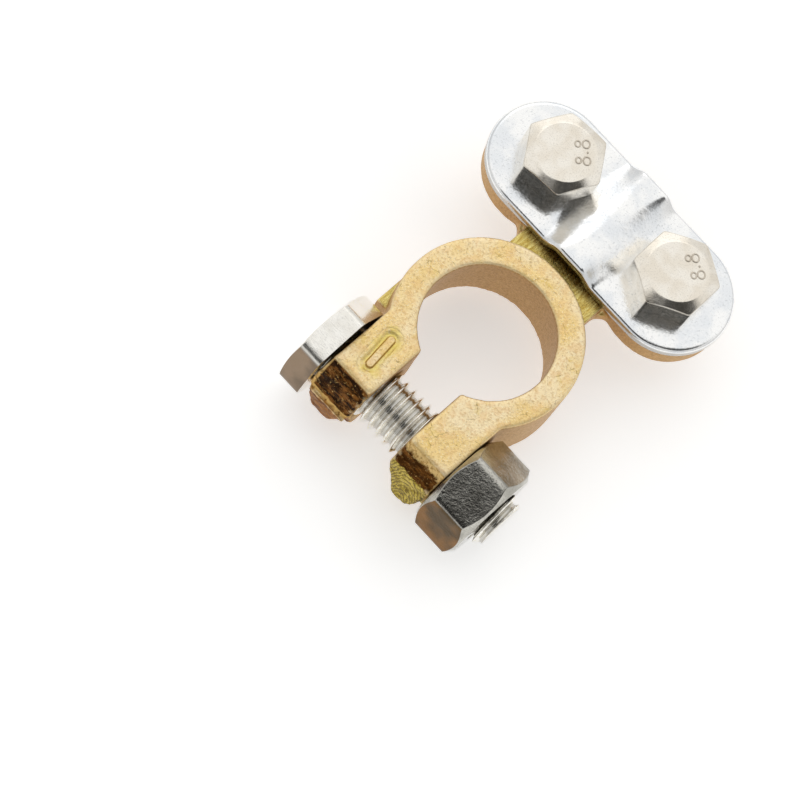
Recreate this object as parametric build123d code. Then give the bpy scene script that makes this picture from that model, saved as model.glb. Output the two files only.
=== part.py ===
from build123d import *
import math
import os

# Battery terminal clamp for a tapered battery post, in millimetres.
# Origin: on the axis of the post bore, in the clamp's underside. +Z runs up the post,
# +Y from the post to the cable saddle, and the pinch bolt lies along X, its head at -X.

# --- driving dimensions: ring and post bore -------------------------------------------
RING_HEIGHT = 10.4
RING_OUTER_R = 12.5
BORE_TOP_R = 8.85
POST_TAPER = 1 / 9  # change of diameter per millimetre of height, wider at the bottom

# --- driving dimensions: ears ---------------------------------------------------------
EAR_GAP = 7.14
EAR_THICKNESS = 6.43
HEAD_SIDE_SWELL = 0.45  # how far the outer face swells at the parting plane
NUT_SIDE_SWELL = 0.2
EAR_TOP_REACH = 16.9  # from the bore axis to the end of an ear's top face
EAR_MIDDLE_REACH = 19.2  # the same a little below the parting plane
EAR_FOOT_REACH = 18.0  # the same at the underside
EAR_EDGE_ROUND = 0.7
EAR_ROOT_FILLET = 1.4
FACET_REACH = 19.6  # lower end of the sloping facet on the head-side ear
FACET_DROP = 4.9
FACET_CROWN = 0.25  # how far that facet bulges
SAWN_FACET_REACH = 19.4  # lower end of the sloping facet on the nut-side ear
SAWN_FACET_DROP = 2.6
GATE_REACH = 20.3  # from the bore axis to the end of either gate stub
GATE_ROOT_REACH = 16.0  # where the stubs start, inside the ears

# --- driving dimensions: minus bar ----------------------------------------------------
BAR_LENGTH = 5.2
BAR_WIDTH = 1.1
BAR_HEIGHT = 0.35
BAR_PAD_DEPTH = 0.15
BAR_PAD_MARGIN = 0.55
BAR_TURN = 6.5  # degrees from +Y
BAR_DISTANCE = 12.2  # from the bore axis, along Y

# --- driving dimensions: gusset, neck and saddle --------------------------------------
GUSSET_THICKNESS = 2.2
GUSSET_REACH = 6.3
NECK_WIDTH = 14.0
NECK_SHELF = 1.0  # straight-sided upper layer of the neck, over its filleted web
SADDLE_DROP = 1.8  # saddle and neck top below the ring's top
SADDLE_CENTRE = 22.2
SADDLE_MIDDLE_THICKNESS = 2.4  # of the neck as well
SADDLE_PAD_THICKNESS = 3.8
SADDLE_MIDDLE_WIDTH = 15.6
SADDLE_PAD_SLOPE = 3.0  # how far each pad's underside takes to slope up to the middle
SADDLE_INSET = 0.3  # saddle edge inside the plate's edge
SADDLE_CORNER = 0.7
NECK_FILLET = 2.0

# --- driving dimensions: cable channel and plate --------------------------------------
CHANNEL_WIDTH = 7.4
CHANNEL_DEPTH = 1.4
CHANNEL_STOP = 1.0  # how far inside the saddle's near edge the channel ends
PLATE_LENGTH = 39.1
PLATE_WIDTH = 16.2
PLATE_SHEET = 1.5
PLATE_EDGE_BREAK = 0.4
BULGE_HEIGHT = 1.5
BULGE_TOP_WIDTH = 4.6
BULGE_BASE_WIDTH = 7.9
BULGE_BEND_R = 1.6

# --- driving dimensions: plate bolts (M6) ---------------------------------------------
PLATE_BOLT_PITCH = 20.5
PLATE_BOLT_OFFSET = 0.44  # from the plate's centre line, away from the ring
PLATE_BOLT_R = 3.0
PLATE_BOLT_LENGTH = 10.0
PLATE_BOLT_FLATS = 10.0
PLATE_BOLT_HEAD = 4.1
PLATE_BOLT_CROWN_R = 4.1
PLATE_BOLT_HOLE_CLEARANCE = 0.25
THREAD_CLEARANCE = 0.05
BOLT_A_TURN = 5.7  # degrees, of one corner from +X
BOLT_B_TURN = 31.4

# --- driving dimensions: pinch bolt and nut (M8) --------------------------------------
PINCH_DISTANCE = 14.3  # from the bore axis
PINCH_BOLT_R = 3.95
PINCH_HOLE_CLEARANCE = 0.3
PINCH_FLATS = 13.0
PINCH_HEAD = 3.5
PINCH_CROWN_R = 6.1
NUT_THICKNESS = 6.8
NUT_CHAMFER_DROP = 1.1  # at the corners, on both faces
BOLT_PROTRUSION = 1.6
HEAD_FLAT_TILT = 76.3  # degrees of one flat's normal above -Y
NUT_FLAT_TILT = 70.1
TIP_CHAMFER = 0.65  # across; the chamfer is longer than it is deep
TIP_CHAMFER_LENGTH = 0.9

# --- derived sizes --------------------------------------------------------------------
BORE_BOTTOM_R = BORE_TOP_R + RING_HEIGHT * POST_TAPER / 2
MIDDLE_Z = RING_HEIGHT / 2
EAR_INNER_X = EAR_GAP / 2
EAR_OUTER_X = EAR_INNER_X + EAR_THICKNESS
HEAD_SEAT_X = EAR_OUTER_X + HEAD_SIDE_SWELL
NUT_SEAT_X = EAR_OUTER_X + NUT_SIDE_SWELL
SADDLE_TOP_Z = RING_HEIGHT - SADDLE_DROP
PLATE_TOP_Z = SADDLE_TOP_Z + PLATE_SHEET
SADDLE_WIDTH = PLATE_WIDTH - 2 * SADDLE_INSET
SADDLE_LENGTH = PLATE_LENGTH - 2 * SADDLE_INSET
CHANNEL_R = ((CHANNEL_WIDTH / 2) ** 2 + CHANNEL_DEPTH**2) / (2 * CHANNEL_DEPTH)
CHANNEL_AXIS_Z = SADDLE_TOP_Z - CHANNEL_DEPTH + CHANNEL_R
BOLT_X = PLATE_BOLT_PITCH / 2
BOLT_Y = SADDLE_CENTRE + PLATE_BOLT_OFFSET
PINCH_LENGTH = HEAD_SEAT_X + NUT_SEAT_X + NUT_THICKNESS + BOLT_PROTRUSION
OVERRUN = 5.0  # cutting tools run this far past the material


def slab(outline, low_z, high_z):
    """A flat outline raised between two heights."""
    return extrude(Plane.XY.offset(low_z) * outline, high_z - low_z)


def along_x(outline, low_x, high_x):
    """An outline drawn as (y, z) and run along X."""
    return extrude(Plane.YZ.offset(low_x) * outline, high_x - low_x)


def along_y(outline, low_y, high_y):
    """An outline drawn as (x, z) and run along Y."""
    plane = Plane(origin=(0, low_y, 0), x_dir=(1, 0, 0), z_dir=(0, -1, 0))
    return extrude(plane * outline, -(high_y - low_y))


def rod_z(radius, low_z, high_z, x=0.0, y=0.0):
    return slab(Pos(x, y) * Circle(radius), low_z, high_z)


def rod_x(radius, low_x, high_x):
    """A round bar on the pinch bolt's axis."""
    return along_x(Pos(-PINCH_DISTANCE, MIDDLE_Z) * Circle(radius), low_x, high_x)


def obround(length, width):
    return SlotOverall(length, width)


# --- the brass body -------------------------------------------------------------------
def post_bore():
    """The tapered hole for the post, running past both faces."""
    slope = POST_TAPER / 2
    top_r = BORE_TOP_R - OVERRUN * slope
    bottom_r = BORE_BOTTOM_R + OVERRUN * slope
    height = RING_HEIGHT + 2 * OVERRUN
    return Pos(0, 0, MIDDLE_Z) * Cone(bottom_r, top_r, height)


def gate_stub(side, top_drop, end_points):
    """Stub of the casting gate on an ear's end: D-shaped from the front, sawn at the end."""
    rim = (
        (3.75, RING_HEIGHT - top_drop),
        (4.3, 4.9),
        (5.0, 3.6),
        (5.7, 2.0),
        (7.1, 1.2),
        (8.5, 1.6),
        (9.4, 3.4),
        (10.0, RING_HEIGHT - top_drop),
    )
    points = [(side * x, z) for x, z in rim]
    outline = Spline(*points[:4]) + Spline(*points[3:]) + Line(points[-1], points[0])
    front = along_y(make_face(outline), -GATE_REACH, -GATE_ROOT_REACH)
    profile = Polyline((-GATE_ROOT_REACH, 0), (-GATE_ROOT_REACH, end_points[0][1]), *end_points,
                       close=True)
    return front & along_x(make_face(profile), *sorted((0, side * RING_OUTER_R)))


def ear(side, swell, end_points):
    """One ear; side is -1 at the bolt's head and +1 at its nut."""
    profile = Polyline(
        (0, 0),
        (0, RING_HEIGHT),
        (-EAR_TOP_REACH, RING_HEIGHT),
        *end_points,
        (-EAR_MIDDLE_REACH, MIDDLE_Z - 1),
        (-EAR_FOOT_REACH, 0),
        close=True,
    )
    seat = side * (EAR_OUTER_X + swell)
    block = along_x(make_face(profile), *sorted((side * EAR_INNER_X, seat)))
    ends = [e for e in block.edges() if e.center().Y < -EAR_TOP_REACH]
    inner = [e for e in ends if abs(abs(e.center().X) - EAR_INNER_X) < 0.01]
    block = fillet(inner, EAR_EDGE_ROUND)
    section = Polyline(
        (side * EAR_INNER_X, 0),
        (side * EAR_OUTER_X, 0),
        (seat, MIDDLE_Z),
        (side * EAR_OUTER_X, RING_HEIGHT),
        (side * EAR_INNER_X, RING_HEIGHT),
        close=True,
    )
    return block & along_y(make_face(section), -GATE_REACH, 0)


def head_side_ear():
    """Long bulging facet on the end, and a stub that starts at the parting plane."""
    facet_end = -FACET_REACH, RING_HEIGHT - FACET_DROP
    facet_middle = (
        -(EAR_TOP_REACH + FACET_REACH) / 2 - FACET_CROWN,
        RING_HEIGHT - FACET_DROP / 2 + FACET_CROWN,
    )
    solid = ear(-1, HEAD_SIDE_SWELL, (facet_middle, facet_end))
    ledge = RING_HEIGHT - FACET_DROP - 0.2
    end = ((-GATE_REACH, ledge), (-GATE_REACH, 1.7), (-GATE_REACH + 1, 0))
    return solid + gate_stub(-1, FACET_DROP + 0.2, end)


def nut_side_ear():
    """Short facet on the end, and a taller stub sawn at a slight slope."""
    facet_end = -SAWN_FACET_REACH, RING_HEIGHT - SAWN_FACET_DROP
    solid = ear(1, NUT_SIDE_SWELL, (facet_end,))
    return solid + gate_stub(1, SAWN_FACET_DROP, (facet_end, (-GATE_REACH, 1.6), (-GATE_REACH, 0)))


def ring_with_ears():
    """Ring and ears as one, filleted where the ears leave the ring, then bored."""
    solid = rod_z(RING_OUTER_R, 0, RING_HEIGHT)
    solid += head_side_ear() + nut_side_ear()
    roots = [e for e in solid.edges() if is_ear_root(e)]
    solid = fillet(roots, EAR_ROOT_FILLET)
    gap = Pos(0, -RING_OUTER_R - OVERRUN) * Rectangle(EAR_GAP, 2 * RING_OUTER_R + 2 * OVERRUN)
    solid -= slab(gap, -OVERRUN, RING_HEIGHT + OVERRUN)
    solid -= post_bore()
    return solid


def is_ear_root(edge):
    """True for the upright edges between the ring's wall and an ear's outer face."""
    middle = edge.center()
    upright = edge.bounding_box().size.Z > MIDDLE_Z - 0.5
    on_face = abs(middle.X) > EAR_OUTER_X - 0.1
    return upright and on_face and middle.Y > -RING_OUTER_R


def gusset():
    """Flat web that fills the corner between the ring and the head-side ear."""
    low_z = MIDDLE_Z - GUSSET_THICKNESS / 2
    web = Pos(-RING_OUTER_R / 2, -GUSSET_REACH / 2) * Rectangle(RING_OUTER_R, GUSSET_REACH)
    return slab(web, low_z, low_z + GUSSET_THICKNESS) - rod_z(
        RING_OUTER_R - 1, 0, RING_HEIGHT
    )


def saddle():
    """Cable saddle: thin middle, thicker end pads, and the neck that joins the ring."""
    outline = Pos(0, SADDLE_CENTRE) * obround(SADDLE_LENGTH, SADDLE_WIDTH)
    pads = slab(outline, SADDLE_TOP_Z - SADDLE_PAD_THICKNESS, SADDLE_TOP_Z)
    pads = fillet(pads.edges().group_by(Axis.Z)[0], SADDLE_CORNER)
    return pads - underside_relief() + neck()


def underside_relief():
    """What is cut from under the saddle's middle, with sloping sides up to the pads."""
    high = SADDLE_TOP_Z - SADDLE_MIDDLE_THICKNESS
    low = SADDLE_TOP_Z - SADDLE_PAD_THICKNESS
    half = SADDLE_MIDDLE_WIDTH / 2
    wide = half + SADDLE_PAD_SLOPE
    line = Polyline((-wide, 0), (-wide, low), (-half, high), (half, high), (wide, low), (wide, 0), close=True)
    reach = SADDLE_WIDTH / 2 + OVERRUN
    return along_y(make_face(line), SADDLE_CENTRE - reach, SADDLE_CENTRE + reach)


def neck():
    """Shelf from the ring to the saddle over a web that flares into the saddle."""
    near = SADDLE_CENTRE - SADDLE_WIDTH / 2
    half = NECK_WIDTH / 2
    web = Pos(0, (near + 1) / 2) * Rectangle(NECK_WIDTH, near + 1)
    foot = Pos(0, near + 0.5) * Rectangle(NECK_WIDTH + 2.4 * NECK_FILLET, 1)
    plan = web + foot
    corners = plan.vertices().filter_by_position(Axis.Y, near - 0.01, near + 0.01)
    corners = [v for v in corners if abs(abs(v.X) - half) < 0.01]
    plan = fillet(corners, NECK_FILLET)
    shelf_z = SADDLE_TOP_Z - NECK_SHELF
    solid = slab(plan, SADDLE_TOP_Z - SADDLE_MIDDLE_THICKNESS, shelf_z)
    solid += slab(web, shelf_z, SADDLE_TOP_Z)
    return solid - rod_z(RING_OUTER_R - 1, 0, RING_HEIGHT)


def cable_channel():
    """Shallow U groove across the saddle, open at its outer edge only."""
    groove = Pos(0, CHANNEL_AXIS_Z) * Circle(CHANNEL_R)
    far_edge = SADDLE_CENTRE + SADDLE_WIDTH / 2 + OVERRUN
    stop = SADDLE_CENTRE - SADDLE_WIDTH / 2 + CHANNEL_STOP
    groove = along_y(groove, stop, far_edge)
    keep = slab(Rectangle(CHANNEL_WIDTH, 4 * far_edge), 0, SADDLE_TOP_Z)
    return groove & keep


def minus_bar():
    """Where the minus bar lies: a placement on the head-side ear's top face."""
    middle_x = -(EAR_INNER_X + EAR_THICKNESS / 2)
    return Pos(middle_x, -BAR_DISTANCE) * Rot(0, 0, 90 + BAR_TURN)


def terminal_body():
    body = ring_with_ears() + gusset() + saddle()
    body -= cable_channel()
    for x in (-BOLT_X, BOLT_X):
        body -= rod_z(PLATE_BOLT_R + THREAD_CLEARANCE, -OVERRUN, SADDLE_TOP_Z + 1, x, BOLT_Y)
    body -= rod_x(PINCH_BOLT_R + PINCH_HOLE_CLEARANCE, -RING_OUTER_R - OVERRUN, RING_OUTER_R + OVERRUN)
    pad_size = BAR_LENGTH + 2 * BAR_PAD_MARGIN, BAR_WIDTH + 2 * BAR_PAD_MARGIN
    pad = minus_bar() * obround(*pad_size)
    body -= slab(pad, RING_HEIGHT - BAR_PAD_DEPTH, RING_HEIGHT + 1)
    bar = minus_bar() * obround(BAR_LENGTH, BAR_WIDTH)
    body += slab(bar, RING_HEIGHT - BAR_PAD_DEPTH, RING_HEIGHT - BAR_PAD_DEPTH + BAR_HEIGHT)
    return body


# --- the steel pieces -----------------------------------------------------------------
def plate_section():
    """The sheet's section across the channel, with the sheet's underside on the saddle."""
    base, top = BULGE_BASE_WIDTH / 2, BULGE_TOP_WIDTH / 2
    reach = PLATE_LENGTH / 2 + OVERRUN
    low = SADDLE_TOP_Z + PLATE_SHEET / 2
    high = low + BULGE_HEIGHT
    line = FilletPolyline(
        (-reach, low), (-base, low), (-top, high), (top, high), (base, low), (reach, low),
        radius=BULGE_BEND_R,
    )
    return trace(line, PLATE_SHEET)


def cable_plate():
    outline = Pos(0, SADDLE_CENTRE) * obround(PLATE_LENGTH, PLATE_WIDTH)
    half = PLATE_WIDTH / 2 + OVERRUN
    sheet = along_y(plate_section(), SADDLE_CENTRE - half, SADDLE_CENTRE + half)
    plate = sheet & slab(outline, 0, 2 * RING_HEIGHT)
    rim = [e for e in plate.edges() if is_top_rim(e)]
    plate = chamfer(rim, PLATE_EDGE_BREAK)
    for x in (-BOLT_X, BOLT_X):
        hole_r = PLATE_BOLT_R + PLATE_BOLT_HOLE_CLEARANCE
        plate -= rod_z(hole_r, 0, 2 * RING_HEIGHT, x, BOLT_Y)
    return plate


def is_top_rim(edge):
    """True for the edges round the plate's upper side."""
    on_top = edge.center().Z > SADDLE_TOP_Z + PLATE_SHEET * 0.9
    across = edge.bounding_box().size.Y > PLATE_WIDTH - 1
    upright = edge.geom_type == GeomType.LINE and abs(edge.tangent_at(0).Z) > 0.9
    return on_top and not across and not upright


def hex_head(flats, height, crown_r, corner_drop):
    """A hexagon standing on z = 0 with a flat crown and a coned chamfer under it."""
    corner_r = flats / math.sqrt(3)
    prism = extrude(RegularPolygon(corner_r, 6), height)
    slope = corner_drop / (corner_r - crown_r)
    reach = crown_r + height / slope
    cone = Pos(0, 0, height / 2) * Cone(reach, crown_r, height)
    return prism & cone


def bolt(shank_r, shank_length, flats, height, crown_r, corner_drop):
    """A bolt along Z: the head stands on z = 0 and the shank hangs below it."""
    shank = rod_z(shank_r, -shank_length, 0)
    shank = chamfer(shank.edges().group_by(Axis.Z)[0], TIP_CHAMFER, TIP_CHAMFER_LENGTH)
    return hex_head(flats, height, crown_r, corner_drop) + shank


def plate_bolt(x, turn):
    piece = bolt(
        PLATE_BOLT_R, PLATE_BOLT_LENGTH, PLATE_BOLT_FLATS, PLATE_BOLT_HEAD, PLATE_BOLT_CROWN_R, 0.55
    )
    return Pos(x, BOLT_Y, PLATE_TOP_Z) * Rot(0, 0, turn) * piece


def on_pinch_axis(x, flat_tilt):
    """Places a piece built along Z so that it points to +X, with one flat facing up and -Y."""
    axis = Plane(
        origin=(x, -PINCH_DISTANCE, MIDDLE_Z),
        x_dir=(0, -math.cos(math.radians(flat_tilt)), math.sin(math.radians(flat_tilt))),
        z_dir=(1, 0, 0),
    )
    return axis.location


def pinch_bolt():
    piece = bolt(PINCH_BOLT_R, PINCH_LENGTH, PINCH_FLATS, PINCH_HEAD, PINCH_CROWN_R, 0.8)
    placed = on_pinch_axis(-HEAD_SEAT_X, HEAD_FLAT_TILT) * Rot(0, 0, 30)
    return placed * Rot(180, 0, 0) * piece


def pinch_nut():
    corner_r = PINCH_FLATS / math.sqrt(3)
    nut = extrude(RegularPolygon(corner_r, 6), NUT_THICKNESS)
    for end in (0, 1):
        nut = nut & nut_chamfer_cone(corner_r, end)
    nut -= rod_z(PINCH_BOLT_R + THREAD_CLEARANCE, -OVERRUN, NUT_THICKNESS + OVERRUN)
    return on_pinch_axis(NUT_SEAT_X, NUT_FLAT_TILT) * Rot(0, 0, 30) * nut


def nut_chamfer_cone(corner_r, end):
    """The cone that rounds off the nut's corners at its lower (0) or upper (1) face."""
    slope = NUT_CHAMFER_DROP / (corner_r - PINCH_CROWN_R)
    wide = PINCH_CROWN_R + NUT_THICKNESS / slope
    radii = (PINCH_CROWN_R, wide) if end == 0 else (wide, PINCH_CROWN_R)
    return Pos(0, 0, NUT_THICKNESS / 2) * Cone(*radii, NUT_THICKNESS)


os.makedirs("parts", exist_ok=True)
pieces = {
    "terminal_body": terminal_body(),
    "cable_plate": cable_plate(),
    "plate_bolt_a": plate_bolt(-BOLT_X, BOLT_A_TURN),
    "plate_bolt_b": plate_bolt(BOLT_X, BOLT_B_TURN),
    "pinch_bolt": pinch_bolt(),
    "pinch_nut": pinch_nut(),
}
for name, shape in pieces.items():
    export_step(shape, f"parts/{name}.step")
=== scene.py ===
import math

import bmesh
import bpy
import numpy as np
from mathutils import Matrix, Vector

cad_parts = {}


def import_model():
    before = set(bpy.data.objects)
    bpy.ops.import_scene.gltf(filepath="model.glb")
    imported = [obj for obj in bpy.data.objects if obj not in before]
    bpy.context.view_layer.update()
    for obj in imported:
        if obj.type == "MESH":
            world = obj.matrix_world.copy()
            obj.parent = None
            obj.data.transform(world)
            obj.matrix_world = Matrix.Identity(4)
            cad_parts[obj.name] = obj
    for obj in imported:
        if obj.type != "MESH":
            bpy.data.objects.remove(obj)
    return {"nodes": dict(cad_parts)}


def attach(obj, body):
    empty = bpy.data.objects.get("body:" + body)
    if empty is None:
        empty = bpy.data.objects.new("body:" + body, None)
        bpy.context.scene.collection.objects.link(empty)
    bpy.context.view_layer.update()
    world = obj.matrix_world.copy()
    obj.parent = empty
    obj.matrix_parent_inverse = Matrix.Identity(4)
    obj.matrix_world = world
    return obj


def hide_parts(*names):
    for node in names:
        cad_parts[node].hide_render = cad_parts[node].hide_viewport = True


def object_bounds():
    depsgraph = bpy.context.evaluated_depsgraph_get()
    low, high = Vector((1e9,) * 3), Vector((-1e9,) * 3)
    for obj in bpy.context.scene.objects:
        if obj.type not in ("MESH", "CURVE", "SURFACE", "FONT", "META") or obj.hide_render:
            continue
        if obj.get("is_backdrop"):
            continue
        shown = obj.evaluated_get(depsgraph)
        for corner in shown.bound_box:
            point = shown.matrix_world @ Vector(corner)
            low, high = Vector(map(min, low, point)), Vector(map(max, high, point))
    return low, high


# %% [markdown]
# # Battery terminal clamp
# The clamp grips the post of a battery and holds a cable under a screwed plate. Its packed
# solids give the frame: the post bore's axis is Z, the cable saddle lies towards +Y and the
# pinch bolt points to +X. The solids stay where they are. Each is replaced by a finer surface
# made here, because a cast or pressed skin needs more than a solid's plain faces.

# %% The frame
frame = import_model()
nodes = frame["nodes"]
cad_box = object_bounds()
print("solids:", ", ".join(sorted(nodes)))

# %% [markdown]
# ## Shared sizes
# The new surfaces take the places of the solids, so they share these sizes with the part's
# source. They are in millimetres and become metres only where a mesh is made, because a
# maker reads and measures millimetres.

# %% Sizes that several pieces share
MM = 0.001
RING_TOP = 10.4
SADDLE_TOP = 8.6
SADDLE_Y = 22.2                      # the middle of the cable plate
PLATE_SIZE = (39.1, 16.2, 1.5)       # length, width, thickness of the sheet
PLATE_BOLT_HEAD = 4.1
CROWN_TOP = SADDLE_TOP + PLATE_SIZE[2] + PLATE_BOLT_HEAD
BOLT_X, BOLT_Y = 10.25, 22.64        # the plate bolts' axes
HEAD_SEAT, NUT_SEAT = 10.45, 10.2    # of the pinch bolt and its nut on the ears, along X
PINCH_Y, PINCH_Z = -14.3, 5.2        # the pinch bolt's axis
PINCH_FLATS = 13.0
PINCH_CREST = 3.92                   # radius of its thread
PINCH_PITCH = 1.273
NUT_HEIGHT = 6.8
BAR_CENTRE = (-6.785, -12.2)
BAR_TURN = math.radians(96.5)
BAR_HALF = (2.05, 0.55)              # half of the straight part, and half of the width
print("crown of the plate bolts at", round(CROWN_TOP, 2), "mm")

# %% [markdown]
# ## Small makers
# A surface is a numpy formula on a grid of parameters, and one function turns such a grid
# into a mesh. Primitives with modifiers would be quicker to place, but a formula gives the
# true form and says in one line what it is. Pieces stay at the origin, unturned, so object
# coordinates are the frame's own.

# %% A piece in the scene
def link(name, mesh, material, body, slot, *replaced):
    """Puts a mesh into the scene as a piece that rides on a body."""
    piece = bpy.data.objects.new(name, mesh)
    bpy.context.scene.collection.objects.link(piece)
    mesh.materials.append(material)
    mesh.polygons.foreach_set("use_smooth", np.ones(len(mesh.polygons), bool))
    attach(piece, body)
    if replaced:
        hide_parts(*replaced)
    print(name, len(mesh.vertices), "points", len(mesh.polygons), "faces")
    return piece


# %% A mesh from grids
SAME_POINT = 0.002                   # points closer than this are merged


def grid_mesh(name, *grids, sharp=60):
    """Grids of points in mm (rows along the profile, columns round it) as one mesh of quads;
    edges that turn by more than the sharp angle in degrees are shaded sharp."""
    bm = bmesh.new()
    for points in grids:
        rows, cols = points.shape[:2]
        left = np.arange(rows * cols).reshape(rows, cols)
        right = np.roll(left, -1, axis=1)
        quads = np.stack([left[:-1], right[:-1], right[1:], left[1:]], axis=-1).reshape(-1, 4)
        part = bpy.data.meshes.new("part")
        part.from_pydata((points.reshape(-1, 3) * MM).tolist(), [], quads.tolist())
        bm.from_mesh(part)
        bpy.data.meshes.remove(part)
    bmesh.ops.remove_doubles(bm, verts=bm.verts, dist=SAME_POINT * MM)
    bmesh.ops.recalc_face_normals(bm, faces=bm.faces)
    mesh = bpy.data.meshes.new(name)
    bm.to_mesh(mesh)
    bm.free()
    mesh.set_sharp_from_angle(angle=math.radians(sharp))
    return mesh


# %% A soft step
def smooth(value, low, high):
    """0 at low, 1 at high (which may be the smaller one), 3t^2 - 2t^3 between them."""
    t = np.clip((value - low) / (high - low), 0, 1)
    return t * t * (3 - 2 * t)


print("a soft step a quarter of the way:", float(smooth(0.25, 0, 1)))

# %% [markdown]
# ## Writing finishes
# Every finish here is bare metal, built from noise in object coordinates, so that it doesn't
# slide when a body moves and needs no picture. One function adds a node, feeds it and gives
# what it puts out, so a finish reads as one expression. A kind of node is its type with its
# settings, named for what it does. Wiring nodes by hand in the editor shows more at a glance,
# but a written tree can be read, compared and changed in one place.

# %% Written colours
def linear(code):
    """sRGB hex to a linear colour with alpha."""
    parts = [int(code[i:i + 2], 16) / 255 for i in (0, 2, 4)]
    lin = [c / 12.92 if c <= 0.04045 else ((c + 0.055) / 1.055) ** 2.4 for c in parts]
    return (*lin, 1.0)


print("gold in linear light:", [round(c, 3) for c in linear("FADC9A")])

# %% Kinds of node
STEP = ("MapRange", {"interpolation_type": "SMOOTHSTEP"})   # value, low, high, to low, to high
PAINT = ("Mix", {"data_type": "RGBA"})                      # mask, colour at 0, colour at 1
LEVEL = ("Mix", {"data_type": "FLOAT"})                     # mask, level at 0, level at 1
MINUS, TIMES, TIMES_PLUS, LARGER, ABSOLUTE, ROOT, SINE = [
    ("Math", {"operation": name}) for name in
    ("SUBTRACT", "MULTIPLY", "MULTIPLY_ADD", "MAXIMUM", "ABSOLUTE", "SQRT", "SINE")]
SCALED, SHIFTED, UNIT, ALONG = [
    ("VectorMath", {"operation": name}) for name in
    ("SCALE", "MULTIPLY_ADD", "NORMALIZE", "DOT_PRODUCT")]
SPLIT = ("SeparateXYZ", {})
COORDINATES = ("TexCoord", {})
MAPPING = ("Mapping", {})
NOISE = ("TexNoise", {})
CELLS = ("TexVoronoi", {"feature": "DISTANCE_TO_EDGE"})
GEOMETRY = ("NewGeometry", {})
BUMP = ("Bump", {})


# %% A node tree
class Tree:
    """A node tree with one function that adds nodes."""

    def __init__(self, tree):
        self.nodes = tree.nodes
        self.links = tree.links

    def feed(self, socket, value):
        """Links a socket, or sets it to a constant; a colour may be written as hex."""
        if isinstance(value, bpy.types.NodeSocket):
            self.links.new(value, socket)
        else:
            socket.default_value = linear(value) if isinstance(value, str) else value

    def add(self, kind, *values, **named):
        """Adds a node and feeds its live inputs in order, or by name. Gives its output, or
        all its outputs if several are live."""
        type_name, settings = kind
        node = self.nodes.new("ShaderNode" + type_name)
        for key, value in settings.items():
            setattr(node, key, value)
        live = [socket for socket in node.inputs if socket.enabled]
        for socket, value in zip(live, values):
            self.feed(socket, value)
        for key, value in named.items():
            self.feed(node.inputs[key], value)
        outputs = [socket for socket in node.outputs if socket.enabled]
        return outputs[0] if len(outputs) == 1 else node.outputs

    def both(self, *values):
        """The product of masks."""
        out = values[0]
        for value in values[1:]:
            out = self.add(TIMES, out, value)
        return out

    def weigh(self, *pairs):
        """The sum of (value, weight) pairs."""
        out = 0.0
        for value, weight in pairs:
            out = self.add(TIMES_PLUS, value, weight, out)
        return out


# %% A metal's node tree
class Metal(Tree):
    """A metal's finish. Places x, y, z are in mm; ny and nz are from the normal. Each finish
    feeds the roughness, so the one given here is only the metal's typical value."""

    def __init__(self, name, roughness):
        self.material = bpy.data.materials.new(name)
        self.material.use_nodes = True
        super().__init__(self.material.node_tree)
        self.bsdf = self.nodes["Principled BSDF"]
        self.bsdf.inputs["Metallic"].default_value = 1.0
        self.bsdf.inputs["Roughness"].default_value = roughness
        outputs = self.add(COORDINATES)
        self.coords = outputs["Object"]
        self.x, self.y, self.z = self.add(SPLIT, self.add(SCALED, self.coords, 1 / MM))
        _, self.ny, self.nz = self.add(SPLIT, outputs["Normal"])

    def speckle(self, per_mm, detail=3.0, rough=0.5, stretch=(1, 1, 1)):
        """Noise with this many cells in a millimetre, squeezed along the frame's axes."""
        scale = [per_mm / MM * s for s in stretch]
        place = self.add(MAPPING, Vector=self.coords, Scale=scale)
        return self.add(NOISE, Vector=place, Scale=1.0, Detail=detail, Roughness=rough)[0]

    def cracks(self, per_mm, wander, bend_per_mm=0.7):
        """Distance to the borders of cells: near 0 along lines that wander by so many mm."""
        bend = self.add(NOISE, Vector=self.coords, Scale=bend_per_mm / MM, Detail=3.0)
        moved = self.add(SHIFTED, bend["Color"], (wander * MM,) * 3, self.coords)
        return self.add(CELLS, Vector=moved, Scale=per_mm / MM)

    def finish(self, color, roughness, height, strength, distance):
        """Feeds the surface, tilts it as if it stood higher by height * distance in mm, and
        gives the material."""
        tilted = self.add(BUMP, Strength=strength, Distance=distance * MM, Height=height)
        self.feed(self.bsdf.inputs["Base Color"], color)
        self.feed(self.bsdf.inputs["Roughness"], roughness)
        self.feed(self.bsdf.inputs["Normal"], tilted)
        print(self.material.name, len(self.nodes), "nodes")
        return self.material


# %% [markdown]
# ## Cast brass
# The body is one brass casting, tumbled and then machined in places, so it is one material
# whose zones are masks made from place and normal. Separate materials would need the mesh
# cut along the zones, and every border would be a hard line. The noises below are shared by
# the zones. Their cells are the sand's grain of about 0.3 mm, the finest speck that still
# shows (0.15 mm), blotches of 0.8 mm and stains of 2 mm and more.

# %% Grain sizes and places on the casting
SAND_GRAIN, FINE_SPECK, BLOTCH, STAIN = 3.2, 6.5, 1.3, 0.45   # cells in a millimetre
EAR_END = -17.05                     # the ears' end faces, in Y
LOW_TOPS = (5.6, 9.4)                # the machined upper faces lie between these heights
SHADED_NECK = (12.6, 14.2, 14.4, 15.6)    # Y where the painted shade starts, is full, and ends
PARTING = 5.5                        # height of the mould's parting line
GATE_TOP = 8.75                      # the sawn gate lies under this
EAR_INNER, EAR_OUTER = 3.75, 9.8     # the ears' sides, in X

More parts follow.
